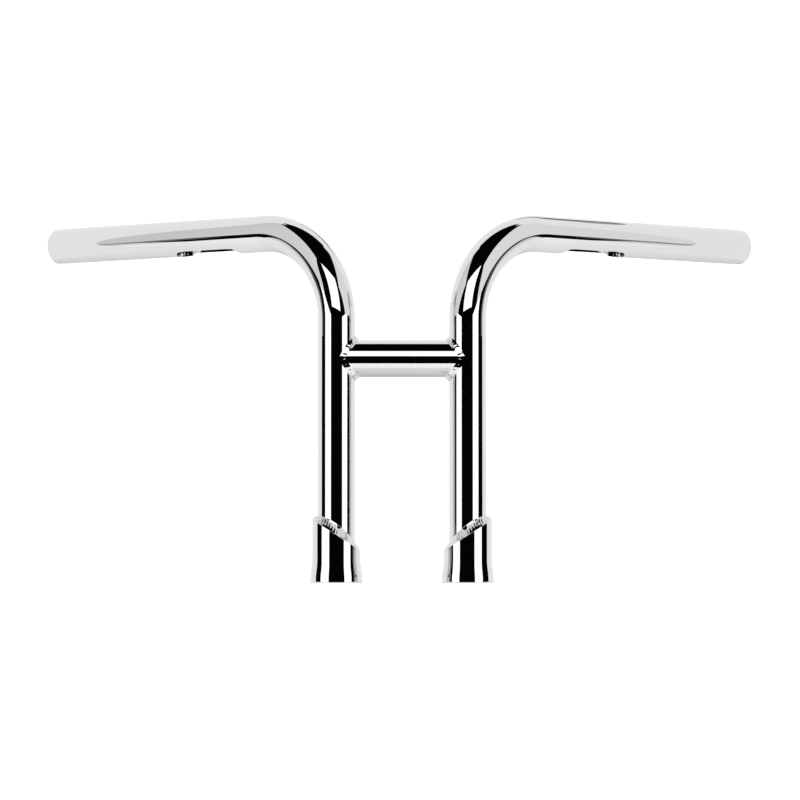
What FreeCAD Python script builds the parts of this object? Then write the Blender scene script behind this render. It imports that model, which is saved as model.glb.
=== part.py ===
import FreeCAD, Part
import math
import os

# A welded motorcycle handlebar made of one-inch tube: two risers with bent-back handles,
# a crossbar coped between them, and a turned base under each riser for the clamp bolts.
# Millimetres, +Z up, +Y back towards the rider, +X to the rider's left.
# The origin is on the mounting plane, midway between the two tapped holes.

# Bar tube
tube_od = 25.4
tube_wall = 3.05
riser_spacing = 88.9
bend_start_height = 178.1
bend_radius = 61.5
bend_angle = 90.0
sweep_angle = 38.0
handle_length = 193.0
bar_end_round = 2.2

# Wire channel pressed into the underside of the handle, and the wire hole that ends it
channel_inset = 123.0
channel_length = 49.0
channel_width = 16.5
channel_depth = 5.0
channel_floor_round = 1.6
channel_outer_run = 8.0
channel_inner_run = 12.0
channel_lip_round = 0.8
wire_hole_d = 12.7
wire_hole_inset = 122.0
wire_hole_roll = 9.0

# Crossbar
crossbar_od = 25.4
crossbar_wall = 3.05
crossbar_height = 151.9
cope_gap = 0.15

# Riser base
base_foot_od = 35.6
base_sleeve_od = 33.0
base_foot_land = 2.5
base_flare_top = 16.5
base_edge_chamfer = 0.6
base_tall_side = 43.0
base_short_side = 21.7
socket_floor = 15.0
socket_clearance = 0.1
tap_drill_d = 10.716
tap_mouth_chamfer = 0.4

# Weld round each end of the crossbar: a round bead sunk into the seam
crossbar_weld_radius = 2.7
crossbar_weld_tip_sink = 2.0
crossbar_weld_corner_sink = 0.4
crossbar_weld_apex = 5.0

# Weld round the mitred top of each riser base
base_weld_rise = 6.2
base_weld_setback = 0.2
base_weld_crown = 0.7

# Values worked out from the driving dimensions
tube_radius = tube_od / 2
crossbar_radius = crossbar_od / 2
sleeve_radius = base_sleeve_od / 2
foot_radius = base_foot_od / 2
riser_x = riser_spacing / 2
mitre_slope = (base_tall_side - base_short_side) / base_sleeve_od
mitre_height = (base_tall_side + base_short_side) / 2
overrun = tube_wall
seam_steps = 24
seam_nudge = math.pi / 10000
vec = FreeCAD.Vector
CENTRE = vec(0, 0, 0)
UP = vec(0, 0, 1)
ALONG_X = vec(1, 0, 0)
ALONG_Y = vec(0, 1, 0)


def rod(radius, start, end):
    """Solid round bar between two points."""
    run = end.sub(start)
    return Part.makeCylinder(radius, run.Length, start, run)


def turned(edges, axis):
    """Solid turned about an axis through the origin from a closed half profile."""
    return Part.Face(Part.Wire(Part.__sortEdges__(edges))).revolve(CENTRE, axis, 360)


def mirrored(shape):
    """The same piece on the rider's right."""
    return shape.mirror(CENTRE, ALONG_X)


def in_bend_plane(out, z):
    """Point in the upright plane of the left bend, out from the riser's axis."""
    sweep = math.radians(sweep_angle)
    return vec(riser_x + out * math.cos(sweep), out * math.sin(sweep), z)


def handle_start():
    """Centre of the tube where the bend ends and the straight handle begins."""
    turn = math.radians(bend_angle)
    out = bend_radius * (1 - math.cos(turn))
    return in_bend_plane(out, bend_start_height + bend_radius * math.sin(turn))


def to_handle(shape):
    """Put a shape made along +X from the origin onto the left handle's axis."""
    shape.rotate(CENTRE, ALONG_Y, bend_angle - 90)
    shape.rotate(CENTRE, UP, sweep_angle)
    shape.translate(handle_start())
    return shape


def bent_bar(radius, extra):
    """Round bar along riser, bend and handle, longer by extra at both ends."""
    riser_top = in_bend_plane(0, bend_start_height)
    riser = rod(radius, in_bend_plane(0, socket_floor - extra), riser_top)
    section = Part.Face(Part.Wire(Part.makeCircle(radius, riser_top, UP)))
    sweep = math.radians(sweep_angle)
    hinge = vec(-math.sin(sweep), math.cos(sweep), 0)
    elbow = section.revolve(in_bend_plane(bend_radius, bend_start_height), hinge, bend_angle)
    handle = to_handle(rod(radius, CENTRE, ALONG_X * (handle_length + extra)))
    return riser.fuse([elbow, handle])


def channel_section(x, half_width, corner, floor):
    """Cross-section of the channel's tool: flat top at the channel's floor, rounded top edges."""
    below = -tube_radius - channel_lip_round
    bow = corner * (1 - math.sqrt(0.5))
    edges = []
    for sense in (-1, 1):
        side = sense * half_width
        shoulder = vec(x, side, floor - corner)
        middle = vec(x, side - sense * bow, floor - bow)
        flat = vec(x, side - sense * corner, floor)
        edges += [Part.makeLine(vec(x, side, below), shoulder), Part.Arc(shoulder, middle, flat).toShape()]
    edges.append(Part.makeLine(vec(x, corner - half_width, floor), vec(x, half_width - corner, floor)))
    edges.append(Part.makeLine(vec(x, -half_width, below), vec(x, half_width, below)))
    return Part.Face(Part.Wire(Part.__sortEdges__(edges)))


def channel_tool(growth):
    """Tool that presses the wire channel, lying along the underside of the left handle.

    One section goes straight along the channel's floor and rolls down on an arc at each end.
    Grown by the wall, it leaves the channel's inner bulge in the bore.
    """
    floor = channel_depth - tube_radius
    outer_end = handle_length - channel_inset
    flat_start = outer_end - channel_length + channel_inner_run
    flat_end = outer_end - channel_outer_run
    shape = (channel_width / 2 + growth, channel_floor_round + growth, floor + growth)
    run_outs = []
    for x, sense, run in ((flat_start, -1, channel_inner_run), (flat_end, 1, channel_outer_run)):
        arc_radius = (run ** 2 + channel_depth ** 2) / (2 * channel_depth)
        hinge = vec(x, 0, floor - arc_radius)
        run_outs.append(channel_section(x, *shape).revolve(hinge, ALONG_Y * sense, 90))
    flat = channel_section(flat_start, *shape).extrude(ALONG_X * (flat_end - flat_start))
    return to_handle(flat.fuse(run_outs))


def handle_axis_distance(point):
    """How far along the left handle a point is, and how far from its axis."""
    start = handle_start()
    ahead = to_handle(Part.Vertex(ALONG_X)).Point.sub(start)
    offset = point.sub(start)
    along = offset.dot(ahead)
    return along, offset.sub(ahead * along).Length


def bar_end_edges(bar):
    """The rim of the cut bar end."""
    end = to_handle(Part.Vertex(ALONG_X * handle_length)).Point
    return [edge for edge in bar.Edges if edge.CenterOfMass.distanceToPoint(end) < bar_end_round / 2]


def channel_lip_edges(bar):
    """The edges where the wire channel breaks the tube's outer surface."""
    outer_end = handle_length - channel_inset
    lips = []
    for edge in bar.Edges:
        places = [handle_axis_distance(vertex.Point) for vertex in edge.Vertexes]
        in_span = all(-overrun < along - outer_end + channel_length < channel_length + 2 * overrun
                      for along, away in places)
        on_skin = all(abs(away - tube_radius) < tube_wall / 100 for along, away in places)
        if in_span and on_skin:
            lips.append(edge)
    return lips


def bar_tube():
    """Left bar tube: bent tube, rounded bar end, pressed wire channel and wire hole."""
    skin = bent_bar(tube_radius, 0)
    skin = skin.makeFillet(bar_end_round, bar_end_edges(skin))
    skin = skin.cut(channel_tool(0))
    skin = skin.makeFillet(channel_lip_round, channel_lip_edges(skin))
    bore = bent_bar(tube_radius - tube_wall, overrun).cut(channel_tool(tube_wall))
    hole_x = handle_length - wire_hole_inset
    wire_hole = rod(wire_hole_d / 2, vec(hole_x, 0, -tube_od), vec(hole_x, 0, 0))
    wire_hole.rotate(CENTRE, ALONG_X, -wire_hole_roll)
    return skin.cut(bore).cut(to_handle(wire_hole))


def crossbar():
    """Straight tube between the risers, both ends coped to the riser's curve."""
    left_end = vec(riser_x, 0, crossbar_height)
    right_end = vec(-riser_x, 0, crossbar_height)
    bore = rod(crossbar_radius - crossbar_wall, right_end, left_end)
    tube = rod(crossbar_radius, right_end, left_end).cut(bore)
    reach = UP * tube_od
    cope = rod(tube_radius + cope_gap, left_end - reach, left_end + reach)
    return tube.cut(cope).cut(mirrored(cope))


def above_mitre():
    """Block whose underside is the mitre plane of the left riser base, high on the outside."""
    size = base_tall_side + base_foot_od + base_weld_rise
    block = Part.makeBox(2 * size, 2 * size, size, vec(-size, -size, 0))
    block.rotate(CENTRE, ALONG_Y, -math.degrees(math.atan(mitre_slope)))
    block.translate(vec(riser_x, 0, mitre_height))
    return block


def riser_base():
    """Left riser base: flared foot, socket for the tube, tapped hole and mitred top."""
    tap_radius = tap_drill_d / 2
    socket_radius = tube_radius + socket_clearance
    flare_low = vec(foot_radius, 0, base_foot_land)
    flare_high = vec(sleeve_radius, 0, base_flare_top)
    flare_middle = (flare_low + flare_high) * 0.5
    quarter = (flare_high - flare_low) * 0.25
    # The flare is two arcs, upright at both ends and tangent to each other in the middle
    bow = vec(quarter.x / 2, 0, 0)
    flare = [Part.Arc(flare_low, flare_low + quarter - bow, flare_middle).toShape(),
             Part.Arc(flare_middle, flare_high - quarter + bow, flare_high).toShape()]
    outside = [vec(tap_radius, 0, tap_mouth_chamfer), vec(tap_radius + tap_mouth_chamfer, 0, 0),
               vec(foot_radius - base_edge_chamfer, 0, 0), vec(foot_radius, 0, base_edge_chamfer),
               vec(foot_radius, 0, base_foot_land)]
    inside = [vec(sleeve_radius, 0, base_flare_top), vec(sleeve_radius, 0, base_tall_side),
              vec(socket_radius, 0, base_tall_side), vec(socket_radius, 0, socket_floor),
              vec(tap_radius, 0, socket_floor), outside[0]]
    edges = Part.makePolygon(outside).Edges + flare + Part.makePolygon(inside).Edges
    base = turned(edges, UP)
    base.translate(vec(riser_x, 0, 0))
    return base.cut(above_mitre())


def base_weld():
    """Bead round the mitred top of the left riser base.

    A ring turned about the tube, then slanted upright along the mitre, so that it still fits
    the tube.
    """
    toe = sleeve_radius - base_weld_setback
    inside = tube_radius - overrun
    rise = vec(tube_radius, 0, base_weld_rise)
    foot = vec(toe, 0, 0)
    outward = vec(base_weld_rise, 0, toe - tube_radius)
    crown = (rise + foot) * 0.5 + outward.normalize() * base_weld_crown
    edges = [Part.Arc(foot, crown, rise).toShape()]
    edges += Part.makePolygon([rise, vec(inside, 0, base_weld_rise), vec(inside, 0, -overrun),
                               vec(toe, 0, -overrun), foot]).Edges
    slant = FreeCAD.Matrix()
    slant.A31 = mitre_slope
    bead = turned(edges, UP).transformGeometry(slant)
    bead.translate(vec(riser_x, 0, mitre_height))
    riser = rod(tube_radius, in_bend_plane(0, 0), in_bend_plane(0, bend_start_height))
    return bead.common(above_mitre()).cut(riser)


def seam_point(angle):
    """Centre of the crossbar weld's bead, going round the seam from the riser's front.

    The curve crosses the front and back of the riser at its nose and opens along both sides
    of the crossbar.
    """
    overhang = math.sqrt(max(0.0, tube_radius ** 2 - crossbar_radius ** 2))
    nose = math.hypot(crossbar_weld_apex, overhang)
    reach = tube_radius - crossbar_weld_corner_sink
    inward = math.hypot(nose * math.cos(angle), reach * math.sin(angle))
    forward = (crossbar_radius - crossbar_weld_tip_sink) * math.cos(angle)
    rise = (crossbar_radius - crossbar_weld_corner_sink) * math.sin(angle)
    return vec(riser_x - inward, -forward, crossbar_height + rise)


def crossbar_weld():
    """Bead round the crossbar's left end: round sections lofted along the seam, less both tubes."""
    sections = []
    for step in range(seam_steps):
        angle = 2 * math.pi * step / seam_steps
        heading = seam_point(angle + seam_nudge).sub(seam_point(angle - seam_nudge))
        sections.append(Part.Wire(Part.makeCircle(crossbar_weld_radius, seam_point(angle), heading)))
    bead = Part.makeLoft(sections, True, False, True)
    level = UP * crossbar_height
    reach = UP * (crossbar_od + crossbar_weld_radius)
    riser = rod(tube_radius, level + ALONG_X * riser_x - reach, level + ALONG_X * riser_x + reach)
    bar = rod(crossbar_radius, level - ALONG_X * riser_x, level + ALONG_X * riser_spacing)
    return bead.cut(riser).cut(bar)


def main():
    os.makedirs("parts", exist_ok=True)
    left_pieces = {"bar_tube": bar_tube(), "riser_base": riser_base(), "base_weld": base_weld(),
                   "crossbar_weld": crossbar_weld()}
    pieces = {"crossbar": crossbar()}
    for name, shape in left_pieces.items():
        pieces["left_" + name] = shape
        pieces["right_" + name] = mirrored(shape)
    for name, shape in pieces.items():
        shape.exportStep("parts/" + name + ".step")
        print(name, "solids", len(shape.Solids), "volume", round(shape.Volume, 1), "valid", shape.isValid())


main()
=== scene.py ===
"""Looks of a chrome-plated, welded motorcycle handlebar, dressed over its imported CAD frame.

The bar is two bent tubes with swept-back handles, a crossbar coped between their risers, a turned
base under each riser, and the weld beads that join them. Every surface is worked out as a grid of
points and stands for the CAD node of its name. Metres, in the frame of the CAD: +X to the rider's
left, +Y back towards the rider, +Z up, mounting plane at Z = 0.
"""

import logging
import math
from dataclasses import dataclass, field
from enum import Enum

import bpy
import numpy as np
from numpy.typing import NDArray
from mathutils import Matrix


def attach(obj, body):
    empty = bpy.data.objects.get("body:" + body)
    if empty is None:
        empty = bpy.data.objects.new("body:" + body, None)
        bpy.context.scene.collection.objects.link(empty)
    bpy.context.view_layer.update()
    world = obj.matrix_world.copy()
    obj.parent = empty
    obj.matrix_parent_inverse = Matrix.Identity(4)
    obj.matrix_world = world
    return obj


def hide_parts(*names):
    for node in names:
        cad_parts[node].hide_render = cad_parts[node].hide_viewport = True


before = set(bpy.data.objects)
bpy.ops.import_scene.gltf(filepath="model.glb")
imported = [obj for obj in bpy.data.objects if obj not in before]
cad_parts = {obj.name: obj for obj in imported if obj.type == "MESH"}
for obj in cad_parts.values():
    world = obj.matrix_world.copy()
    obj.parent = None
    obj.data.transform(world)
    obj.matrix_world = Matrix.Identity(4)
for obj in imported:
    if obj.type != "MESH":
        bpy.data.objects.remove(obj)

log = logging.getLogger("handlebar")

MM = 0.001
FULL_TURN = 2.0 * math.pi
PICTURE_SIDE = 800

Grid = NDArray[np.float64]
Faces = NDArray[np.int64]
Point = tuple[float, float, float]


class Side(Enum):
    """Which half of the bar a piece belongs to, as the sign of its X."""

    LEFT = 1
    RIGHT = -1

    @property
    def label(self) -> str:
        """The side as it stands in a CAD node's name.

        Returns:
            The lower-case name.
        """
        return self.name.lower()


class Slot(Enum):
    """The record's material slots."""

    TUBE = "chrome_steel"
    WELD = "chrome_weld"


def linear(hex_colour: str) -> tuple[float, float, float, float]:
    """Turn an sRGB hex colour into the linear RGBA that shaders use.

    Args:
        hex_colour: Six hex digits after a hash.

    Returns:
        Red, green, blue and an alpha of one.
    """
    srgb = np.array([int(hex_colour[place:place + 2], 16) for place in (1, 3, 5)]) / 255.0
    light = np.where(srgb <= 0.04045, srgb / 12.92, ((srgb + 0.055) / 1.055) ** 2.4)
    return (float(light[0]), float(light[1]), float(light[2]), 1.0)


def ease(share: Grid) -> Grid:
    """Smooth step: 3s² - 2s³ of a share held between 0 and 1.

    Args:
        share: Any values.

    Returns:
        Values from 0 to 1, level at both ends.
    """
    held = np.clip(share, 0.0, 1.0)
    return held * held * (3.0 - 2.0 * held)


def soft_min(one: Grid, other: Grid, width: float) -> Grid:
    """The smaller of two heights, with the crease between them rounded over a width.

    Where the two differ by less than the width, a parabola of the difference is taken off the smaller.

    Args:
        one: First height.
        other: Second height.
        width: Difference below which the crease is rounded.

    Returns:
        The rounded minimum.
    """
    near = np.maximum(width - np.abs(one - other), 0.0) / width
    return np.minimum(one, other) - near * near * width / 4.0


def unit(vectors: Grid) -> Grid:
    """Scale vectors to a length of one.

    Args:
        vectors: Any shape that ends in three.

    Returns:
        The unit vectors.
    """
    return vectors / np.linalg.norm(vectors, axis=-1, keepdims=True)


def ring_quads(rows: int, columns: int) -> Faces:
    """Quads of a grid that is closed both ways, like a ring's surface.

    Cell (i, j) joins points (i, j), (i, j + 1), (i + 1, j + 1) and (i + 1, j), counted round both ways.

    Args:
        rows: Number of rings.
        columns: Points in each ring.

    Returns:
        Point numbers, as an array of cell rows, cell columns and four corners.
    """
    here = np.arange(rows * columns).reshape(rows, columns)
    ahead = np.roll(here, -1, axis=0)
    return np.stack([here, np.roll(here, -1, axis=1), np.roll(ahead, -1, axis=1), ahead], axis=-1)


def enclosed_volume(points: Grid, quads: Faces) -> float:
    """Signed volume inside closed quads, positive where they face outwards.

    Each quad is two triangles, and each triangle makes with the origin a tetrahedron of a sixth of
    its triple product.

    Args:
        points: Point coordinates.
        quads: Four point numbers a row.

    Returns:
        The volume in cubic metres.
    """
    a, b, c, d = (points[quads[:, corner]] for corner in range(4))
    first = np.einsum("ij,ij->i", a, np.cross(b, c))
    second = np.einsum("ij,ij->i", a, np.cross(c, d))
    return float((first + second).sum() / 6.0)


def make_piece(name: str, points: Grid, quads: Faces, crease: float = 35.0) -> bpy.types.Object:
    """Turn a closed surface into a smooth-shaded object at the origin, facing outwards.

    Args:
        name: The object's name.
        points: Point coordinates, any shape that ends in three.
        quads: Point numbers, any shape that ends in four.
        crease: Edges that turn by more than this many degrees stay sharp.

    Returns:
        The new object, linked to the scene.
    """
    used, numbers = np.unique(quads.ravel(), return_inverse=True)
    corners = numbers.reshape(-1, 4)
    places = points.reshape(-1, 3)[used]
    if enclosed_volume(places, corners) < 0.0:
        corners = corners[:, ::-1]
    mesh = bpy.data.meshes.new(name)
    mesh.vertices.add(len(places))
    mesh.vertices.foreach_set("co", places.astype(np.float32).ravel())
    mesh.loops.add(corners.size)
    mesh.loops.foreach_set("vertex_index", corners.astype(np.int32).ravel())
    mesh.polygons.add(len(corners))
    mesh.polygons.foreach_set("loop_start", np.arange(0, corners.size, 4, dtype=np.int32))
    mesh.update(calc_edges=True)
    mesh.shade_smooth()
    mesh.set_sharp_from_angle(angle=math.radians(crease))
    piece = bpy.data.objects.new(name, mesh)
    bpy.context.scene.collection.objects.link(piece)
    return piece


def add_node(tree: bpy.types.NodeTree, kind: str, values: dict | None = None, links: dict | None = None,
             **settings: object) -> bpy.types.Node:
    """Add a node with its settings, socket values and links.

    Args:
        tree: The node tree.
        kind: Blender's name of the node's class.
        values: Constants, by input socket.
        links: Output sockets of other nodes, by input socket.
        settings: The node's own properties.

    Returns:
        The new node.
    """
    node = tree.nodes.new(kind)
    for name, setting in settings.items():
        setattr(node, name, setting)
    for socket, value in (values or {}).items():
        node.inputs[socket].default_value = value
    for socket, output in (links or {}).items():
        tree.links.new(output, node.inputs[socket])
    return node


def empty_material(name: str) -> bpy.types.Material:
    """A material with an empty node tree.

    Args:
        name: The material's name.

    Returns:
        The material.
    """
    material = bpy.data.materials.new(name)
    material.use_nodes = True
    material.node_tree.nodes.clear()
    return material


@dataclass(frozen=True)
class ChromePlate:
    """Bright chrome plate over polished steel.

    The plate is a clear grey mirror. Buffing leaves it very slightly wavy, so that straight
    reflections wander a little, and leaves a faint haze that comes and goes over the surface.
    """

    name: str
    bright: str
    dull: str
    clear: float
    hazy: float
    wave: float
    wave_height: float
    grit: float
    grit_height: float

    def material(self) -> bpy.types.Material:
        """Build the plate's node material.

        Returns:
            The material.
        """
        material = empty_material(self.name)
        tree = material.node_tree
        place = add_node(tree, "ShaderNodeTexCoord").outputs["Object"]
        # Haze: soft patches that are a shade duller and less clear
        haze = add_node(tree, "ShaderNodeTexNoise", {"Scale": 0.25 / self.wave, "Detail": 4.0},
                        {"Vector": place}).outputs["Fac"]
        tone = add_node(tree, "ShaderNodeMix", {6: linear(self.bright), 7: linear(self.dull)}, {0: haze},
                        data_type="RGBA")
        gloss = add_node(tree, "ShaderNodeMapRange", {"From Min": 0.3, "From Max": 0.7,
                                                      "To Min": self.clear, "To Max": self.hazy},
                         {"Value": haze})
        # Buffing swell and fine grit: together they bend the mirrored stripes
        swell = add_node(tree, "ShaderNodeTexNoise", {"Scale": 1.0 / self.wave, "Detail": 1.0},
                         {"Vector": place})
        buffed = add_node(tree, "ShaderNodeBump", {"Strength": 1.0, "Distance": self.wave_height},
                          {"Height": swell.outputs["Fac"]})
        speck = add_node(tree, "ShaderNodeTexNoise", {"Scale": 1.0 / self.grit, "Detail": 2.0},
                         {"Vector": place})
        skin = add_node(tree, "ShaderNodeBump", {"Strength": 1.0, "Distance": self.grit_height},
                        {"Height": speck.outputs["Fac"], "Normal": buffed.outputs["Normal"]})
        shader = add_node(tree, "ShaderNodeBsdfPrincipled", {"Metallic": 1.0},
                          {"Base Color": tone.outputs[2], "Roughness": gloss.outputs["Result"],
                           "Normal": skin.outputs["Normal"]})
        add_node(tree, "ShaderNodeOutputMaterial", None, {"Surface": shader.outputs["BSDF"]})
        return material


@dataclass(frozen=True)
class WireChannel:
    """Channel pressed into the underside of a handle for the switch wires, ended by the wire hole.

    Lengths are counted along the handle from the end of the bend.
    """

    outer_end: float = 70.0 * MM
    length: float = 49.0 * MM
    width: float = 16.5 * MM
    depth: float = 5.0 * MM
    side_slope: float = 6.5
    floor_corner: float = 0.3 * MM
    inner_run: float = 12.0 * MM
    outer_run: float = 5.0 * MM
    lip: float = 0.22 * MM
    hole_radius: float = 6.35 * MM
    hole_place: float = 71.0 * MM
    hole_roll: float = math.radians(9.0)
    side_reach: float = 0.3

    def tool_depth(self, along: Grid, across: Grid, tube_radius: float, growth: Grid) -> Grid:
        """How far under the handle's axis the pressing tool's upper side lies.

        The tool's top is flat and its sides are steep planes that meet the tube's skin at the
        channel's width. With c the side plane's drop, the corner is rounded as (c + sqrt(c² + k²)) / 2.
        At both ends the tool rolls down about a hinge: at b past the flat its height over the hinge is
        sqrt(p² - b²), with p the arc's radius less the drop.

        Args:
            along: Places along the handle.
            across: Places across the handle.
            tube_radius: The tube's outer radius.
            growth: How much larger the tool is, which is the tube's wall for the bulge in the bore.

        Returns:
            Depths under the handle's axis, below the tube where the tool doesn't reach.
        """
        half = self.width / 2.0
        floor = tube_radius - self.depth
        side_foot = half - (math.sqrt(tube_radius ** 2 - half ** 2) - floor) / self.side_slope
        side_drop = self.side_slope * (np.abs(across) - growth - side_foot)
        drop = (side_drop + np.hypot(side_drop, self.floor_corner)) / 2.0
        depth = floor - growth + drop
        flat_start = self.outer_end - self.length + self.inner_run
        flat_end = self.outer_end - self.outer_run
        for run, beyond in ((self.inner_run, flat_start - along), (self.outer_run, along - flat_end)):
            arc = (run ** 2 + self.depth ** 2) / (2.0 * self.depth)
            reach = np.maximum(arc + growth - drop, 0.0)
            rolled = floor + arc - np.sqrt(np.maximum(reach ** 2 - beyond ** 2, 0.0))
            depth = np.where(beyond > 0.0, rolled, depth)
        return depth

    def round_the_hole(self, along: Grid, across: Grid, half_across: Grid) -> tuple[Grid, Grid]:
        """Warp a grid so that a square block of its cells becomes the round wire hole.

        With a and b the offsets in half block sizes and m the larger of the two, the block's edge
        m = 1 goes onto the hole's circle. The grid eases back to itself at a = 2 and, sooner, across.

        Args:
            along: Places along the handle.
            across: Places across the hole's own axis.
            half_across: Half the block's width.

        Returns:
            The warped places along and across.
        """
        a = (along - self.hole_place) / self.hole_radius
        b = across / half_across
        square = np.maximum(np.abs(a), np.abs(b))
        spoke = np.maximum(np.hypot(a, b), 1e-9)
        back = np.maximum(ease(np.abs(a) - 1.0), ease((np.abs(b) - 1.0) / self.side_reach))
        round_along = self.hole_place + self.hole_radius * square * a / spoke
        round_across = self.hole_radius * square * b / spoke
        return round_along + back * (along - round_along), round_across + back * (across - round_across)


@dataclass
class BarTube:
    """Bar tube of one side: riser, bend and swept-back handle, open at the bar end."""

    side: Side
    radius: float = 12.7 * MM
    wall: float = 3.05 * MM
    riser_x: float = 44.45 * MM
    foot: float = 15.0 * MM
    bend_start: float = 178.1 * MM
    bend_radius: float = 61.5 * MM
    sweep: float = math.radians(38.0)
    handle: float = 193.0 * MM
    end_round: float = 2.2 * MM
    channel: WireChannel = field(default_factory=WireChannel)
    # Each block's first angle in degrees, and its number of columns
    ring_blocks: tuple[tuple[float, int], ...] = ((-50.0, 40), (-37.8, 64), (19.8, 12), (36.0, 52),
                                                  (50.0, 72))
    hole_block: int = 1
    crease: float = 60.0
    hole_rows: int = 14
    groove_rows: int = 36
    riser_rows: int = 8
    bend_rows: int = 80
    near_rows: int = 4
    far_rows: int = 10
    rim_rows: int = 9
    bore_rows: int = 8
    spare_rows: int = 4

    @property
    def columns(self) -> int:
        """Points in each ring.

        Returns:
            The count.
        """
        return sum(cells for start, cells in self.ring_blocks)

    @property
    def hole_columns(self) -> int:
        """Columns from the middle of the wire hole's block to its edge.

        Returns:
            The count.
        """
        return self.ring_blocks[self.hole_block][1] // 2

    @property
    def hole_middle(self) -> int:
        """Column through the middle of the wire hole.

        Returns:
            The column's number.
        """
        return sum(cells for start, cells in self.ring_blocks[:self.hole_block]) + self.hole_columns

    @property
    def handle_start(self) -> float:
        """Travel from the tube's foot to the end of the bend.

        Returns:
            The distance.
        """
        return self.bend_start - self.foot + self.bend_radius * math.pi / 2.0

    def ring_angles(self) -> Grid:
        """Angles of a ring's points, closest together where the channel's sides stand.

        Each block shares its angle evenly and ends where the next one starts.

        Returns:
            Angles from the inside of the bend, once round.
        """
        starts = [start for start, cells in self.ring_blocks]
        ends = starts[1:] + [starts[0] + 360.0]
        blocks = [np.linspace(start, end, cells, endpoint=False)
                  for (start, cells), end in zip(self.ring_blocks, ends)]
        return np.radians(np.concatenate(blocks))

    def place(self, travel: Grid) -> tuple[Grid, Grid]:
        """Centre of the tube, and the direction to the inside of its bend, at distances along it.

        The centre goes up the riser, round a quarter circle and straight along the swept handle. The
        direction turns with it from outwards to straight down.

        Args:
            travel: Distances from the tube's foot.

        Returns:
            Centres and unit directions.
        """
        riser_run = self.bend_start - self.foot
        turn = np.clip((travel - riser_run) / self.bend_radius, 0.0, math.pi / 2.0)
        rise = self.foot + np.minimum(travel, riser_run) + self.bend_radius * np.sin(turn)
        straight = np.maximum(travel - self.handle_start, 0.0)
        out = self.bend_radius * (1.0 - np.cos(turn)) + straight
        to_side, to_back = self.side.value * math.cos(self.sweep), math.sin(self.sweep)
        centre = np.stack([self.side.value * self.riser_x + out * to_side, out * to_back, rise], axis=-1)
        inside = np.stack([np.cos(turn) * to_side, np.cos(turn) * to_back, -np.sin(turn)], axis=-1)
        return centre, inside

    def profile(self) -> tuple[Grid, Grid, Grid, int, int]:
        """Rings of the closed wall: up the outside, round the bar end's rim and back down the bore.

        Returns:
            Each ring's travel, its radius, how much the channel's tool is grown there, and the rings
            through the wire hole's centre on the outside and in the bore.
        """
        start = self.handle_start
        step = self.channel.hole_radius / self.hole_rows
        around = 2 * self.hole_rows + self.spare_rows
        hole = start + self.channel.hole_place + step * np.arange(-around, around + 1)
        groove_start = start + self.channel.outer_end - self.channel.length - self.spare_rows * step
        groove = np.linspace(groove_start, hole[0], self.groove_rows, endpoint=False)
        riser = np.linspace(0.0, self.bend_start - self.foot, self.riser_rows, endpoint=False)
        bend = np.linspace(self.bend_start - self.foot, start, self.bend_rows, endpoint=False)
        near = np.linspace(start, groove[0], self.near_rows, endpoint=False)
        rim_start = start + self.handle - self.end_round
        far = np.linspace(hole[-1], rim_start, self.far_rows)[1:]
        rim = np.linspace(0.0, math.pi / 2.0, self.rim_rows + 1)[1:]
        mouth = np.linspace(start + self.handle, hole[-1], self.bore_rows, endpoint=False)
        outside = np.concatenate([riser, bend, near, groove, hole, far])
        inside = np.concatenate([mouth, hole[::-1], groove[::-1], near[::-2], bend[::-2], riser[::-2],
                                 [0.0]])
        travel = np.concatenate([outside, rim_start + self.end_round * np.sin(rim), inside])
        outer, bore = self.radius, self.radius - self.wall
        radius = np.concatenate([np.full(outside.size, outer), outer - self.end_round * (1.0 - np.cos(rim)),
                                 np.full(inside.size, bore)])
        growth = np.where(radius > (outer + bore) / 2.0, 0.0, self.wall)
        hole_out = riser.size + bend.size + near.size + groove.size + around
        hole_in = outside.size + rim.size + mouth.size + around
        return travel, radius, growth, hole_out, hole_in

    def build(self) -> bpy.types.Object:
        """Build the tube.

        A ring point at angle f lies r sin f across and r cos f towards the inside of the bend. On the
        underside of the handle the channel's tool pushes it in. The wire hole is a block of cells
        left out of the outside and of the bore, whose two edges are joined by the hole's wall.

        Returns:
            The tube's object.
        """
        travel, radius, growth, hole_out, hole_in = self.profile()
        roll = self.channel.hole_roll
        ring = radius[:, None]
        angles = self.ring_angles()
        middle = self.hole_middle
        angle = np.broadcast_to(angles, (travel.size, self.columns))
        along = np.broadcast_to((travel - self.handle_start)[:, None], angle.shape)
        on_handle = (along > 0.0) & (along < self.handle - 2.0 * self.end_round)
        half_across = ring * np.sin(angles[middle + self.hole_columns] + roll)
        from_hole = ring * np.sin(angle + roll)
        warped_along, warped_across = self.channel.round_the_hole(along, from_hole, half_across)
        warped_angle = np.arcsin(np.clip(warped_across / ring, -1.0, 1.0)) - roll
        facing_hole = on_handle & (np.cos(angle + roll) > 0.0)
        along = np.where(facing_hole, warped_along, along)
        angle = np.where(facing_hole, warped_angle, angle)
        across = ring * np.sin(angle)
        under = ring * np.cos(angle)
        tool = self.channel.tool_depth(along, across, self.radius, growth[:, None])
        pressed = soft_min(under, tool, self.channel.lip)
        under = np.where(on_handle & (under > 0.0), pressed, under)
        centre, inside = self.place(along + self.handle_start)
        lateral = np.array([-self.side.value * math.sin(self.sweep), math.cos(self.sweep), 0.0])
        points = centre + under[..., None] * inside + across[..., None] * lateral
        quads = ring_quads(travel.size, self.columns)
        kept = np.ones(quads.shape[:2], dtype=bool)
        for row in (hole_out, hole_in):
            kept[row - self.hole_rows:row + self.hole_rows,
                 middle - self.hole_columns:middle + self.hole_columns] = False
        edge_out = self.hole_edge(hole_out, middle, 1)
        edge_in = self.hole_edge(hole_in, middle, -1)
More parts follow.
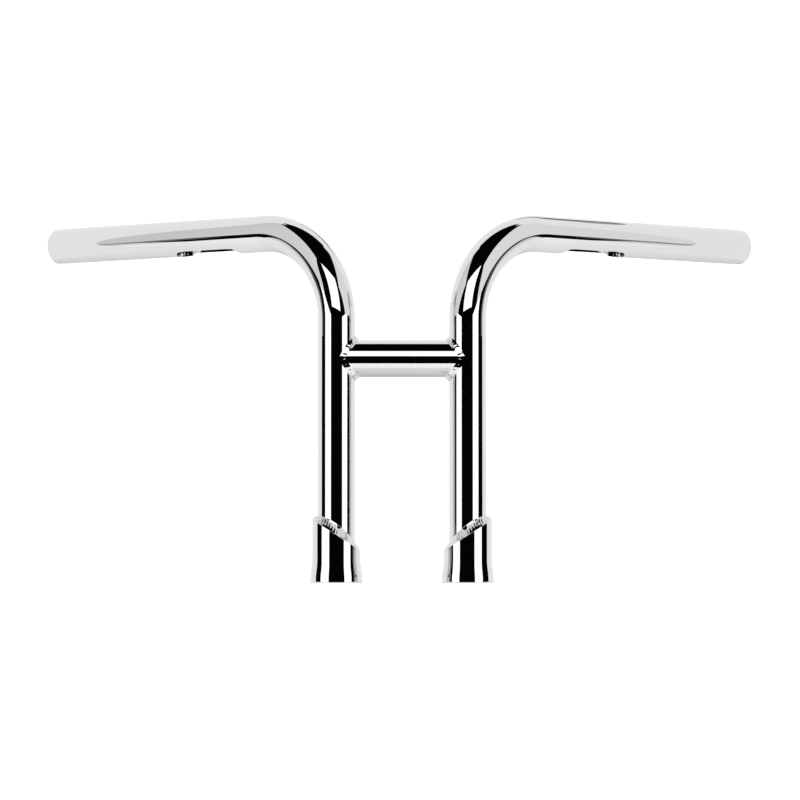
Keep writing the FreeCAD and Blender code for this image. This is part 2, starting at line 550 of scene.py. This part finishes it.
        wall = np.stack([edge_out, np.roll(edge_out, -1), np.roll(edge_in, -1), edge_in], axis=-1)
        faces = np.concatenate([quads[kept], wall])
        return make_piece(self.side.label + "_bent_tube", points, faces, self.crease)

    def hole_edge(self, row: int, column: int, sense: int) -> Faces:
        """Point numbers round the edge of the block of cells that the wire hole takes out.

        Args:
            row: The ring through the hole's centre.
            column: The column through the hole's centre.
            sense: One where the rings run outwards along the handle, minus one where they run back.

        Returns:
            The numbers, once round.
        """
        rows, columns = self.hole_rows, self.hole_columns
        walk_rows = np.arange(-rows, rows)
        walk_columns = np.arange(-columns, columns)
        row_steps = np.concatenate([np.full(2 * columns, -rows), walk_rows, np.full(2 * columns, rows),
                                    -walk_rows])
        column_steps = np.concatenate([walk_columns, np.full(2 * rows, columns), -walk_columns,
                                       np.full(2 * rows, -columns)])
        return (row + sense * row_steps) * self.columns + column + column_steps


@dataclass
class Crossbar:
    """Straight tube between the risers, both ends coped to the risers' curve."""

    radius: float = 12.7 * MM
    wall: float = 3.05 * MM
    height: float = 151.9 * MM
    riser_x: float = 44.45 * MM
    riser_radius: float = 12.7 * MM
    cope_gap: float = 0.15 * MM
    columns: int = 128
    rows: int = 24

    def build(self) -> bpy.types.Object:
        """Build the crossbar.

        A ring point at angle f has y = r sin f and z = h + r cos f. Its tube ends where
        y² + (x - riser)² is the cope's radius squared, and the rings are spread evenly between the
        two ends, out along the skin and back along the bore.

        Returns:
            The crossbar's object.
        """
        angle = np.linspace(0.0, FULL_TURN, self.columns, endpoint=False)
        share = np.linspace(-1.0, 1.0, self.rows)
        share = np.concatenate([share, share[::-1]])[:, None]
        radius = np.repeat([self.radius, self.radius - self.wall], self.rows)[:, None]
        across = radius * np.sin(angle)
        cope = self.riser_radius + self.cope_gap
        reach = self.riser_x - np.sqrt(cope ** 2 - across ** 2)
        points = np.stack([share * reach, across, self.height + radius * np.cos(angle)], axis=-1)
        return make_piece("coped_crossbar", points, ring_quads(2 * self.rows, self.columns))


@dataclass
class RiserBase:
    """Turned base of one riser: flared foot, mitred socket for the tube and a tapped hole below."""

    side: Side
    riser_x: float = 44.45 * MM
    foot_radius: float = 17.8 * MM
    sleeve_radius: float = 16.5 * MM
    foot_land: float = 2.5 * MM
    flare_top: float = 16.5 * MM
    edge_round: float = 0.6 * MM
    tall_side: float = 43.0 * MM
    short_side: float = 21.7 * MM
    socket_radius: float = 12.8 * MM
    socket_floor: float = 15.0 * MM
    thread_minor: float = 5.36 * MM
    thread_major: float = 6.35 * MM
    thread_pitch: float = 25.4 / 13.0 * MM
    thread_crest: float = 0.125
    mouth_chamfer: float = 0.4 * MM
    columns: int = 144
    flare_rows: int = 24
    land_rows: int = 8
    edge_rows: int = 7
    face_rows: int = 8
    wall_rows: int = 12
    rows_a_thread: int = 16

    @property
    def mitre_slope(self) -> float:
        """Rise of the mitred top for each length outwards.

        Returns:
            The slope.
        """
        return (self.tall_side - self.short_side) / (2.0 * self.sleeve_radius)

    def mitre(self, outward: Grid) -> Grid:
        """Height of the mitre plane.

        Args:
            outward: Distances outwards from the riser's axis.

        Returns:
            Heights over the mounting plane.
        """
        return (self.tall_side + self.short_side) / 2.0 + self.mitre_slope * outward

    def outline(self) -> tuple[Grid, Grid]:
        """Radius and height of the turned rings, from the flare's top down and in to the tapped hole.

        The flare is half a cosine wave, upright at both ends. Below it an upright land goes down to
        the foot's lower edge, which is a quarter circle.

        Returns:
            Radii and heights.
        """
        swing = np.linspace(0.0, math.pi, self.flare_rows)
        flare_r = self.sleeve_radius + (self.foot_radius - self.sleeve_radius) * (1.0 - np.cos(swing)) / 2.0
        flare_z = self.flare_top + (self.foot_land - self.flare_top) * swing / math.pi
        land_z = np.linspace(self.foot_land, self.edge_round, self.land_rows)[1:-1]
        land_r = np.full(land_z.size, self.foot_radius)
        quarter = np.linspace(0.0, math.pi / 2.0, self.edge_rows)
        edge_r = self.foot_radius - self.edge_round * (1.0 - np.cos(quarter))
        edge_z = self.edge_round * (1.0 - np.sin(quarter))
        face_r = np.linspace(edge_r[-1], self.thread_minor + self.mouth_chamfer, self.face_rows)[1:]
        heights = np.concatenate([flare_z, land_z, edge_z, np.zeros(face_r.size)])
        return np.concatenate([flare_r, land_r, edge_r, face_r]), heights

    def build(self) -> bpy.types.Object:
        """Build the base.

        The rings below the mitre are turned. Those above them share the way up to the mitre plane,
        whose height is a sloped line of r cos f. The tapped hole's radius is a flat-topped triangle
        wave of height over pitch less angle over a turn, which is a thread.

        Returns:
            The base's object.
        """
        angle = np.linspace(0.0, FULL_TURN, self.columns, endpoint=False)
        outline_r, outline_z = self.outline()
        share = np.linspace(0.0, 1.0, self.wall_rows + 1)[:, None]
        top = self.mitre(self.sleeve_radius * np.cos(angle))
        sleeve_z = self.flare_top + share[:0:-1] * (top - self.flare_top)
        socket_top = self.mitre(self.socket_radius * np.cos(angle))
        socket_z = self.socket_floor + share * (socket_top - self.socket_floor)
        turns = (self.socket_floor - self.mouth_chamfer) / self.thread_pitch
        thread_rows = int(self.rows_a_thread * turns)
        thread_z = np.linspace(self.mouth_chamfer, self.socket_floor, thread_rows)[:, None]
        wave = np.abs(2.0 * np.mod(thread_z / self.thread_pitch - angle / FULL_TURN, 1.0) - 1.0)
        groove = np.clip((1.0 + 2.0 * self.thread_crest) * wave - self.thread_crest, 0.0, 1.0)
        groove = groove * ease((self.socket_floor - thread_z) / self.thread_pitch)
        thread_r = self.thread_minor + (self.thread_major - self.thread_minor) * groove
        floor_r = np.linspace(self.thread_minor, self.socket_radius, self.face_rows)[1:-1, None]
        bands = [(self.sleeve_radius, sleeve_z), (outline_r[:, None], outline_z[:, None]),
                 (thread_r, thread_z), (floor_r, self.socket_floor), (self.socket_radius, socket_z)]
        rings = [np.broadcast_arrays(radius, height, angle[None]) for radius, height in bands]
        radius, height, turn = (np.concatenate(parts) for parts in zip(*rings))
        x = self.side.value * (self.riser_x + radius * np.cos(turn))
        points = np.stack([x, radius * np.sin(turn), height], axis=-1)
        return make_piece(self.side.label + "_turned_base", points, ring_quads(len(points), self.columns))


@dataclass(frozen=True)
class BeadRipple:
    """Ripples that a welder's steps leave across a bead, like a row of leaning coins."""

    pitch: float
    height: float
    lean: float

    def lift(self, travel: Grid, across: Grid) -> Grid:
        """Height of the ripples over the bead.

        Each ripple is a parabola of its share of the pitch, so ripples meet in sharp valleys. Towards
        the bead's edges they lag by the lean times the square of the place across.

        Args:
            travel: Distances along the bead.
            across: Places across it, from minus one to one.

        Returns:
            Heights, none at the bead's edges.
        """
        phase = np.mod((travel + self.lean * across ** 2) / self.pitch, 1.0)
        scallop = 1.0 - (2.0 * phase - 1.0) ** 2
        return self.height * (scallop - 0.5) * (1.0 - across ** 2) ** 2

    def whole_steps(self, travel: Grid) -> Grid:
        """Stretch distances round a closed bead so that a whole number of ripples fits.

        Args:
            travel: Distances along the bead, the last one its full length.

        Returns:
            The stretched distances.
        """
        return travel * round(travel[-1] / self.pitch) * self.pitch / travel[-1]


@dataclass
class BaseWeld:
    """Bead round the mitred top of one riser base, widest at the front and back.

    Its ripples stand out only where the bead wasn't dressed smooth, on the outer front.
    """

    side: Side
    base: RiserBase
    tube_radius: float = 12.7 * MM
    toe_radius: float = 16.3 * MM
    front_rise: float = 7.8 * MM
    side_rise: float = 4.2 * MM
    outer_extra: float = 0.8 * MM
    hollow: float = 0.55 * MM
    bulge: float = 0.6 * MM
    ripple: BeadRipple = BeadRipple(pitch=2.3 * MM, height=0.34 * MM, lean=1.4 * MM)
    rippled_at: float = math.radians(70.0)
    rippled_half: float = math.radians(26.0)
    fade: float = math.radians(8.0)
    dressed: float = 0.05
    columns: int = 600
    rows: int = 26
    crease: float = 75.0

    def build(self) -> bpy.types.Object:
        """Build the bead.

        Across the bead, w goes from the sleeve's edge to the tube: the radius falls and the height
        over the mitre grows evenly. Square to that diagonal stand a crown of 1 - (2w - 1)², hollow at
        the front and back and bulging at the sides, and the ripples. Three hidden rings close the bead
        inside.

        Returns:
            The bead's object.
        """
        angle = np.linspace(0.0, FULL_TURN, self.columns, endpoint=False)
        w = np.linspace(0.0, 1.0, self.rows)[:, None]
        across = 2.0 * w - 1.0
        rise = self.front_rise * np.sin(angle) ** 2 + self.side_rise * np.cos(angle) ** 2
        rise = rise + self.outer_extra * np.cos(angle)
        mean_radius = (self.tube_radius + self.toe_radius) / 2.0
        pace = mean_radius * np.sqrt(1.0 + (self.base.mitre_slope * np.sin(angle)) ** 2)
        travel = self.ripple.whole_steps(np.cumsum(pace) * FULL_TURN / self.columns)
        away = np.abs(np.mod(angle - self.rippled_at + math.pi, FULL_TURN) - math.pi)
        busy = self.dressed + (1.0 - self.dressed) * ease((self.rippled_half - away) / self.fade)
        crown = self.bulge * np.cos(angle) ** 2 - self.hollow * np.sin(angle) ** 2
        proud = crown * (1.0 - across ** 2) + busy * self.ripple.lift(travel, across)
        narrowing = self.toe_radius - self.tube_radius
        span = np.hypot(narrowing, rise)
        radius = self.toe_radius - w * narrowing + proud * rise / span
        over = w * rise + proud * narrowing / span
        inner = np.full(self.columns, self.tube_radius - self.base.edge_round)
        under = np.full(self.columns, -self.base.edge_round)
        radius = np.concatenate([radius, [inner, inner, np.full(self.columns, self.toe_radius)]])
        over = np.concatenate([over, [rise, under, under]])
        height = self.base.mitre(radius * np.cos(angle)) + over
        x = self.side.value * (self.base.riser_x + radius * np.cos(angle))
        points = np.stack([x, -radius * np.sin(angle), height], axis=-1)
        quads = ring_quads(len(points), self.columns)
        return make_piece(self.side.label + "_base_bead", points, quads, self.crease)


@dataclass
class CrossbarWeld:
    """Low saddle-shaped bead round one end of the crossbar, dressed nearly smooth."""

    side: Side
    bar: Crossbar
    apex: float = 5.0 * MM
    front_leg: float = 2.3 * MM
    corner_leg: float = 2.8 * MM
    crown: float = 0.22 * MM
    toe_sink: float = 0.1 * MM
    root: float = 1.2 * MM
    ripple: BeadRipple = BeadRipple(pitch=3.0 * MM, height=0.22 * MM, lean=1.2 * MM)
    wander: float = 1.1 * MM
    rows: int = 520
    columns: int = 26
    crease: float = 75.0

    def seam(self, angle: Grid) -> Grid:
        """Line of the seam, going round the crossbar from the riser's front.

        It opens from the apex at the front and back to the riser's side over and under the bar.

        Args:
            angle: Angles round the crossbar.

        Returns:
            Points of the seam.
        """
        inward = np.hypot(self.apex * np.cos(angle), self.bar.riser_radius * np.sin(angle))
        forward = self.bar.radius * np.cos(angle)
        rise = self.bar.radius * np.sin(angle)
        return np.stack([self.bar.riser_x - inward, -forward, self.bar.height + rise], axis=-1)

    def build(self) -> bpy.types.Object:
        """Build the bead.

        From each point of the seam a leg goes along the riser's skin and one along the crossbar's,
        both square to the seam. Between the two legs' ends lies a straight section, raised along the
        mean of the two skins' normals by a crown of 1 - s² and the ripples. Three hidden rings close
        the bead inside the metal.

        Returns:
            The bead's object.
        """
        angle = np.linspace(0.0, FULL_TURN, self.rows, endpoint=False)
        seam = self.seam(angle)
        step = (np.roll(seam, -1, axis=0) - np.roll(seam, 1, axis=0)) / 2.0
        heading = unit(step)
        from_riser = (seam - np.array([self.bar.riser_x, 0.0, 0.0])) * np.array([1.0, 1.0, 0.0])
        from_bar = (seam - np.array([0.0, 0.0, self.bar.height])) * np.array([0.0, 1.0, 1.0])
        riser_normal, bar_normal = unit(from_riser), unit(from_bar)
        normal = unit(riser_normal + bar_normal)
        leg = self.front_leg + (self.corner_leg - self.front_leg) * np.sin(angle)[:, None] ** 2
        riser_toe = self.onto_riser(seam + leg * unit(np.cross(heading, riser_normal)))
        bar_toe = self.onto_bar(seam + leg * unit(np.cross(bar_normal, heading)))
        across = np.linspace(-1.0, 1.0, self.columns)
        travel = self.ripple.whole_steps(np.cumsum(np.linalg.norm(step, axis=1)))
        # The welder's steps drift back and forth, and parts of the bead are dressed smoother than others
        travel = travel + self.wander * (np.sin(3.0 * angle) + np.sin(7.0 * angle + 1.0)) / 2.0
        busy = 0.6 + 0.4 * np.sin(4.0 * angle + 0.8) * np.cos(3.0 * angle)
        lift = self.crown * (1.0 - across ** 2) + busy[:, None] * self.ripple.lift(travel[:, None], across)
        share = (1.0 + across)[:, None] / 2.0
        top = riser_toe[:, None] * (1.0 - share) + bar_toe[:, None] * share
        top = top + lift[..., None] * normal[:, None]
        hidden = np.stack([bar_toe - self.root * bar_normal, seam - self.root * normal,
                           riser_toe - self.root * riser_normal], axis=1)
        points = np.concatenate([top, hidden], axis=1) * np.array([self.side.value, 1.0, 1.0])
        quads = ring_quads(self.rows, points.shape[1])
        return make_piece(self.side.label + "_saddle_bead", points, quads, self.crease)

    def onto_riser(self, points: Grid) -> Grid:
        """Bring points straight towards or away from the riser's axis to just under its skin.

        Args:
            points: Points near the riser's skin.

        Returns:
            The moved points.
        """
        x, y, z = np.moveaxis(points, -1, 0)
        scale = (self.bar.riser_radius - self.toe_sink) / np.hypot(x - self.bar.riser_x, y)
        return np.stack([self.bar.riser_x + scale * (x - self.bar.riser_x), scale * y, z], axis=-1)

    def onto_bar(self, points: Grid) -> Grid:
        """Bring points straight towards or away from the crossbar's axis to just under its skin.

        Args:
            points: Points near the crossbar's skin.

        Returns:
            The moved points.
        """
        x, y, z = np.moveaxis(points, -1, 0)
        scale = (self.bar.radius - self.toe_sink) / np.hypot(y, z - self.bar.height)
        return np.stack([x, scale * y, self.bar.height + scale * (z - self.bar.height)], axis=-1)


@dataclass(frozen=True)
class LightCard:
    """Lit four-cornered card of the studio, seen only in the chrome's reflections.

    The corners go round the card; its light changes evenly from the first edge to the opposite one.
    """

    name: str
    near_light: float
    far_light: float
    corners: tuple[Point, Point, Point, Point]
    cells: int = 12

    def build(self) -> bpy.types.Object:
        """Build the card as an evenly shared grid between its corners.

        Returns:
            The card's object, hidden from camera, diffuse and shadow rays.
        """
        share = np.linspace(0.0, 1.0, self.cells + 1)
        first, second, third, fourth = (np.array(corner) for corner in self.corners)
        along = share[None, :, None]
        away = share[:, None, None]
        points = (first * (1.0 - along) + second * along) * (1.0 - away)
        points = points + (fourth * (1.0 - along) + third * along) * away
        number = np.arange((self.cells + 1) ** 2).reshape(self.cells + 1, self.cells + 1)
        quads = np.stack([number[:-1, :-1], number[:-1, 1:], number[1:, 1:], number[1:, :-1]], axis=-1)
        mesh = bpy.data.meshes.new(self.name)
        mesh.from_pydata(points.reshape(-1, 3).tolist(), [], quads.reshape(-1, 4).tolist())
        glow = mesh.attributes.new("glow", "FLOAT", "POINT")
        light = self.near_light + (self.far_light - self.near_light) * share
        glow.data.foreach_set("value", np.repeat(light, self.cells + 1).astype(np.float32))
        material = empty_material(self.name + "_glow")
        tree = material.node_tree
        strength = add_node(tree, "ShaderNodeAttribute", attribute_name="glow")
        lit = add_node(tree, "ShaderNodeEmission", None, {"Strength": strength.outputs["Fac"]})
        add_node(tree, "ShaderNodeOutputMaterial", None, {"Surface": lit.outputs["Emission"]})
        mesh.materials.append(material)
        card = bpy.data.objects.new(self.name, mesh)
        bpy.context.scene.collection.objects.link(card)
        card.visible_camera = False
        card.visible_diffuse = False
        card.visible_shadow = False
        return card


@dataclass
class Studio:
    """Pale floor, soft light, the lit cards that the chrome mirrors, and the camera."""

    camera_distance: float = 2.7
    camera_height: float = 0.0215
    camera_x: float = -0.0314
    aim_x: float = -0.0014
    pixels_per_metre: float = 1477.4
    horizon_row: float = 551.2
    sensor: float = 36.0
    floor_half: float = 6.0
    room_light: float = 1.5
    wall_x: float = 0.45
    wall_front: float = 0.074
    wall_back: float = 0.9
    wall_top: float = 1.3
    wall_light: float = 1.05
    window_light: float = 1.6
    table_z: float = -0.06
    table_x: float = 1.06
    table_back: float = 1.0
    table_reach: float = 3.5

    def room_cards(self) -> list[LightCard]:
        """Walls, ceiling and table of the small room behind the bar, which give the chrome its pale grey.

        Returns:
            The cards, not yet built.
        """
        x, front, back = self.wall_x, self.wall_front, self.wall_back
        top, low, light = self.wall_top, self.table_z, self.wall_light
        near, far, end = self.table_x, self.table_reach, self.table_back
        cards = [
            LightCard("back_wall", light, light,
                      ((-x, back, low), (x, back, low), (x, back, top), (-x, back, top))),
            LightCard("back_ceiling", light, light,
                      ((-x, back, top), (x, back, top), (x, 0.2, top), (-x, 0.2, top))),
            LightCard("lit_table", 1.3, 0.6,
                      ((-near, -0.34, low), (near, -0.34, low), (near, end, low), (-near, end, low))),
            # The bar's own shade on the table, mirrored under the crossbar
            LightCard("shaded_table", 1.0, 0.45, ((-0.12, -0.12, -0.059), (0.12, -0.12, -0.059),
                                                  (0.12, 0.35, -0.059), (-0.12, 0.35, -0.059))),
        ]
        for side in Side:
            out = side.value
            cards.append(LightCard(side.label + "_side_wall", light, light,
                                   ((out * x, front, low), (out * x, back, low), (out * x, back, top),
                                    (out * x, front, top))))
            # The slanted front edge leaves the dark line that tapers along the handle
            cards.append(LightCard(side.label + "_table_end", 0.95, 0.4,
                                   ((out * near, end, low), (out * near, -0.083, low),
                                    (out * far, -0.454, low), (out * far, end, low))))
        return cards

    def front_cards(self) -> list[LightCard]:
        """Lamps and reflectors round the camera, which draw the stripes and wedges.

        Returns:
            The cards, not yet built.
        """
        x, front, light = self.wall_x, self.wall_front, self.window_light
        strip_x, strip_y = x - MM, self.wall_back - 10.0 * MM
        return [
            # Grey wedges along the handles, and the soft lower edges of those wedges
            LightCard("right_side_card", 0.76, 0.92,
                      ((-x, front, 0.215), (-x, front, 1.0), (-x, -0.55, 0.70), (-x, -0.25, 0.26))),
            LightCard("left_side_card", 0.93, 0.98,
                      ((x, front, 0.215), (x, front, 1.0), (x, -0.62, 0.68), (x, -0.33, 0.26))),
            LightCard("right_card_skirt", 0.45, 0.03,
                      ((-x, front, 0.188), (-x, front, 0.215), (-x, -0.02, 0.2276), (-x, -0.02, 0.188))),
            LightCard("left_card_skirt", 0.45, 0.03,
                      ((x, front, 0.188), (x, front, 0.215), (x, -0.02, 0.2255), (x, -0.02, 0.188))),
            # White stripes down the risers and along the crossbar
            LightCard("right_softbox", light, light, ((-0.757, -0.234, -0.3), (-0.462, -0.623, -0.3),
                                                      (-0.462, -0.623, 0.25), (-0.757, -0.234, 0.31))),
            LightCard("left_softbox", light, light, ((0.422, -0.648, -0.3), (0.734, -0.295, -0.3),
                                                     (0.734, -0.295, 0.31), (0.422, -0.648, 0.25))),
            LightCard("front_window", light, light, ((-0.40, -0.80, 0.335), (0.33, -0.80, 0.335),
                                                     (0.275, -0.636, 0.76), (-0.345, -0.636, 0.76))),
            # Thin dark line along the top of the left handle
            LightCard("dim_back_strip", 0.12, 0.5, ((strip_x, strip_y, 0.95), (strip_x, strip_y, 1.22),
                                                    (0.10, strip_y, 1.24), (0.10, strip_y, 1.07))),
            LightCard("dim_side_strip", 0.12, 0.5, ((strip_x, strip_y, 0.95), (strip_x, strip_y, 1.22),
                                                    (strip_x, 0.39, 0.765), (strip_x, 0.39, 0.73))),
        ]

    def place_camera(self) -> None:
        """Make the camera, in front of the bar and a little under its middle, looking slightly up."""
        focal_pixels = self.pixels_per_metre * self.camera_distance
        data = bpy.data.cameras.new("front_view")
        data.sensor_width = self.sensor
        data.lens = self.sensor * focal_pixels / PICTURE_SIDE
        camera = bpy.data.objects.new("front_view", data)
        bpy.context.scene.collection.objects.link(camera)
        pitch = math.atan((self.horizon_row - PICTURE_SIDE / 2.0) / focal_pixels)
        yaw = math.atan((self.camera_x - self.aim_x) / self.camera_distance)
        camera.location = (self.camera_x, -self.camera_distance, self.camera_height)
        camera.rotation_euler = (math.pi / 2.0 + pitch, 0.0, yaw)
        bpy.context.scene.camera = camera

    def lay_floor(self) -> None:
        """Lay the pale floor; a lit card stands in for it in the chrome."""
        half = self.floor_half
        mesh = bpy.data.meshes.new("studio_floor")
        mesh.from_pydata([(-half, -half, 0), (half, -half, 0), (half, half, 0), (-half, half, 0)], [],
                         [(0, 1, 2, 3)])
        material = empty_material("matt_studio_paper")
        tree = material.node_tree
        place = add_node(tree, "ShaderNodeTexCoord").outputs["Object"]
        # Paper fibre: a barely uneven white
        fibre = add_node(tree, "ShaderNodeTexNoise", {"Scale": 1.0 / (6.0 * MM), "Detail": 3.0},
                         {"Vector": place})
        tint = add_node(tree, "ShaderNodeMapRange", {"To Min": 0.92, "To Max": 0.95},
                        {"Value": fibre.outputs["Fac"]})
        paper = add_node(tree, "ShaderNodeBsdfDiffuse", None, {"Color": tint.outputs["Result"]})
        add_node(tree, "ShaderNodeOutputMaterial", None, {"Surface": paper.outputs["BSDF"]})
        mesh.materials.append(material)
        floor = bpy.data.objects.new("studio_floor", mesh)
        bpy.context.scene.collection.objects.link(floor)
        floor.visible_glossy = False

    def light(self) -> None:
        """Fill the room with soft white light, and leave it dark in reflections but for the cards."""
        world = bpy.data.worlds.new("studio_room")
        world.use_nodes = True
        tree = world.node_tree
        tree.nodes.clear()
        path = add_node(tree, "ShaderNodeLightPath")
        room = add_node(tree, "ShaderNodeBackground",
                        {"Color": linear("#FFFFFF"), "Strength": self.room_light})
        dark = add_node(tree, "ShaderNodeBackground", {"Color": linear("#050505"), "Strength": 1.0})
        seen = add_node(tree, "ShaderNodeMixShader", None,
                        {0: path.outputs["Is Glossy Ray"], 1: room.outputs["Background"],
                         2: dark.outputs["Background"]})
        add_node(tree, "ShaderNodeOutputWorld", None, {"Surface": seen.outputs["Shader"]})
        bpy.context.scene.world = world
        bpy.context.scene.view_settings.view_transform = "Standard"
        for card in self.room_cards() + self.front_cards():
            card.build()

    def build(self) -> None:
        """Set up camera, floor and light."""
        self.place_camera()
        self.lay_floor()
        self.light()


@dataclass
class Handlebar:
    """The whole bar: its pieces, their finishes and the CAD nodes that they stand for."""

    # Polished before plating: a clear mirror with a barely visible swell
    plate: ChromePlate = ChromePlate("chrome_plated_steel", bright="#DEDEDE", dull="#D8D8D8", clear=0.008,
                                     hazy=0.022, wave=16.0 * MM, wave_height=0.003 * MM, grit=0.9 * MM,
                                     grit_height=0.0)
    # Plated over a bead that was only brushed: hazier, and a little gritty
    weld_plate: ChromePlate = ChromePlate("chrome_plated_weld", bright="#DCDCDC", dull="#D2D2D2",
                                          clear=0.03, hazy=0.07, wave=5.0 * MM, wave_height=0.01 * MM,
                                          grit=0.6 * MM, grit_height=0.002 * MM)

    def dress(self, piece: bpy.types.Object, node: str, material: bpy.types.Material) -> None:
        """Give a piece its finish and its place in the frame.

        Args:
            piece: The new piece.
            node: The CAD node that it stands for.
            material: The finish.
        """
        piece.data.materials.append(material)
        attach(piece, "root")
        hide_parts(node)
        log.info("%s stands for %s: %d faces", piece.name, node, len(piece.data.polygons))

    def build(self) -> None:
        """Build and dress every piece."""
        plate = self.plate.material()
        weld_plate = self.weld_plate.material()
        crossbar = Crossbar()
        self.dress(crossbar.build(), "crossbar", plate)
        for side in Side:
            base = RiserBase(side)
            self.dress(BarTube(side).build(), side.label + "_bar_tube", plate)
            self.dress(base.build(), side.label + "_riser_base", plate)
            base_bead = BaseWeld(side, base).build()
            self.dress(base_bead, side.label + "_base_weld", weld_plate)
            saddle_bead = CrossbarWeld(side, crossbar).build()
            self.dress(saddle_bead, side.label + "_crossbar_weld", weld_plate)


def main() -> None:
    """Build the studio and the bar."""
    logging.basicConfig(level=logging.INFO, format="%(name)s: %(message)s")
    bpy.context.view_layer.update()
    Studio().build()
    Handlebar().build()
    bpy.context.view_layer.update()


if __name__ == "__main__":
    main()
